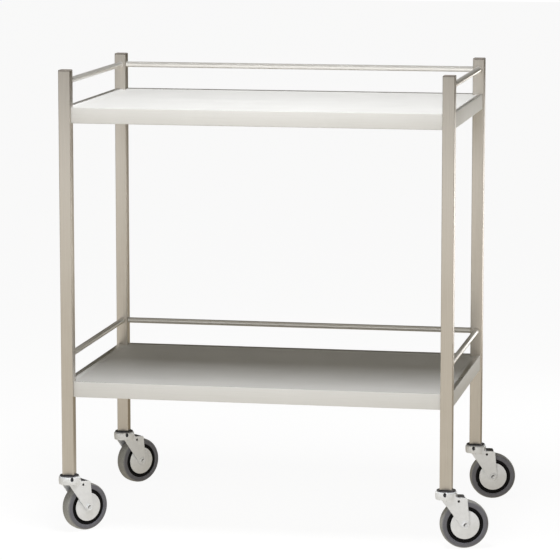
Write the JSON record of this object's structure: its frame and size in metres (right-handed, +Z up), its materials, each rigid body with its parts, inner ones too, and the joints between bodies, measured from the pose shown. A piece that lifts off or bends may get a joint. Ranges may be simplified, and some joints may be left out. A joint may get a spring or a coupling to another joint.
{
  "type": "instrument cart",
  "caption": "Stainless instrument cart with stacked folded shelves between square posts, round guard rails on the left, back and right, and plain swivel castors.",
  "frame": {"origin": "centre of the whole outline on the floor; the castors trail to the right and back, so the posts' own centre is 31.8 mm to the left of it and 24.4 mm in front of it", "axes": "+Z up, +X to the right along the long side, +Y to the back, where the guard rail closes the shelves"},
  "size_m": [0.9034, 0.5788, 0.97],
  "materials": {
    "brushed_stainless": "brushed stainless steel, grain along the tube",
    "shelf_stainless": "fine brushed stainless sheet, grain along the shelf",
    "polished_rail": "bright polished stainless tube",
    "zinc_steel": "bright zinc-plated pressed steel",
    "bearing_steel": "oiled bearing steel",
    "cap_plastic": "grey-brown moulded plastic",
    "plug_plastic": "black moulded plastic",
    "rim_plastic": "black moulded plastic",
    "bush_plastic": "natural acetal",
    "tyre_rubber": "grey non-marking rubber"
  },
  "bodies": {
    "frame": {"post_front_left": "brushed_stainless", "post_cap_front_left": "cap_plastic", "castor_plug_front_left": "plug_plastic", "castor_stem_front_left": "zinc_steel", "post_front_right": "brushed_stainless", "post_cap_front_right": "cap_plastic", "castor_plug_front_right": "plug_plastic", "castor_stem_front_right": "zinc_steel", "post_back_left": "brushed_stainless", "post_cap_back_left": "cap_plastic", "castor_plug_back_left": "plug_plastic", "castor_stem_back_left": "zinc_steel", "post_back_right": "brushed_stainless", "post_cap_back_right": "cap_plastic", "castor_plug_back_right": "plug_plastic", "castor_stem_back_right": "zinc_steel", "bottom_shelf": "shelf_stainless", "bottom_shelf_stiffener": "shelf_stainless", "bottom_rail_left": "polished_rail", "bottom_rail_right": "polished_rail", "bottom_rail_back": "polished_rail", "top_shelf": "shelf_stainless", "top_shelf_stiffener": "shelf_stainless", "top_rail_left": "polished_rail", "top_rail_right": "polished_rail", "top_rail_back": "polished_rail"},
    "castor_front_left": {"castor_bearing_front_left": "bearing_steel", "castor_fork_front_left": "zinc_steel", "castor_axle_front_left": "zinc_steel", "wheel_guard_outer_front_left": "zinc_steel", "wheel_guard_inner_front_left": "zinc_steel"},
    "wheel_front_left": {"wheel_bush_front_left": "bush_plastic", "wheel_core_front_left": "rim_plastic", "tyre_front_left": "tyre_rubber"},
    "castor_front_right": {"castor_bearing_front_right": "bearing_steel", "castor_fork_front_right": "zinc_steel", "castor_axle_front_right": "zinc_steel", "wheel_guard_outer_front_right": "zinc_steel", "wheel_guard_inner_front_right": "zinc_steel"},
    "wheel_front_right": {"wheel_bush_front_right": "bush_plastic", "wheel_core_front_right": "rim_plastic", "tyre_front_right": "tyre_rubber"},
    "castor_back_left": {"castor_bearing_back_left": "bearing_steel", "castor_fork_back_left": "zinc_steel", "castor_axle_back_left": "zinc_steel", "wheel_guard_outer_back_left": "zinc_steel", "wheel_guard_inner_back_left": "zinc_steel"},
    "wheel_back_left": {"wheel_bush_back_left": "bush_plastic", "wheel_core_back_left": "rim_plastic", "tyre_back_left": "tyre_rubber"},
    "castor_back_right": {"castor_bearing_back_right": "bearing_steel", "castor_fork_back_right": "zinc_steel", "castor_axle_back_right": "zinc_steel", "wheel_guard_outer_back_right": "zinc_steel", "wheel_guard_inner_back_right": "zinc_steel"},
    "wheel_back_right": {"wheel_bush_back_right": "bush_plastic", "wheel_core_back_right": "rim_plastic", "tyre_back_right": "tyre_rubber"}
  },
  "joints": [
    {"name": "swivel_front_left", "type": "hinge", "parent": "frame", "child": "castor_front_left", "pos_m": [-0.42931, -0.26691, 0.112], "axis": [0, 0, 1], "continuous": true},
    {"name": "roll_front_left", "type": "hinge", "parent": "castor_front_left", "child": "wheel_front_left", "pos_m": [-0.40374, -0.23949, 0.05], "axis": [-0.7314, 0.682, 0], "continuous": true},
    {"name": "swivel_front_right", "type": "hinge", "parent": "frame", "child": "castor_front_right", "pos_m": [0.36569, -0.26691, 0.112], "axis": [0, 0, 1], "continuous": true},
    {"name": "roll_front_right", "type": "hinge", "parent": "castor_front_right", "child": "wheel_front_right", "pos_m": [0.40136, -0.25532, 0.05], "axis": [-0.309, 0.9511, 0], "continuous": true},
    {"name": "swivel_back_left", "type": "hinge", "parent": "frame", "child": "castor_back_left", "pos_m": [-0.42931, 0.21809, 0.112], "axis": [0, 0, 1], "continuous": true},
    {"name": "roll_back_left", "type": "hinge", "parent": "castor_back_left", "child": "wheel_back_left", "pos_m": [-0.40446, 0.24617, 0.05], "axis": [-0.749, 0.6626, 0], "continuous": true},
    {"name": "swivel_back_right", "type": "hinge", "parent": "frame", "child": "castor_back_right", "pos_m": [0.36569, 0.21809, 0.112], "axis": [0, 0, 1], "continuous": true},
    {"name": "roll_back_right", "type": "hinge", "parent": "castor_back_right", "child": "wheel_back_right", "pos_m": [0.40215, 0.22684, 0.05], "axis": [-0.2334, 0.9724, 0], "continuous": true}
  ]
}
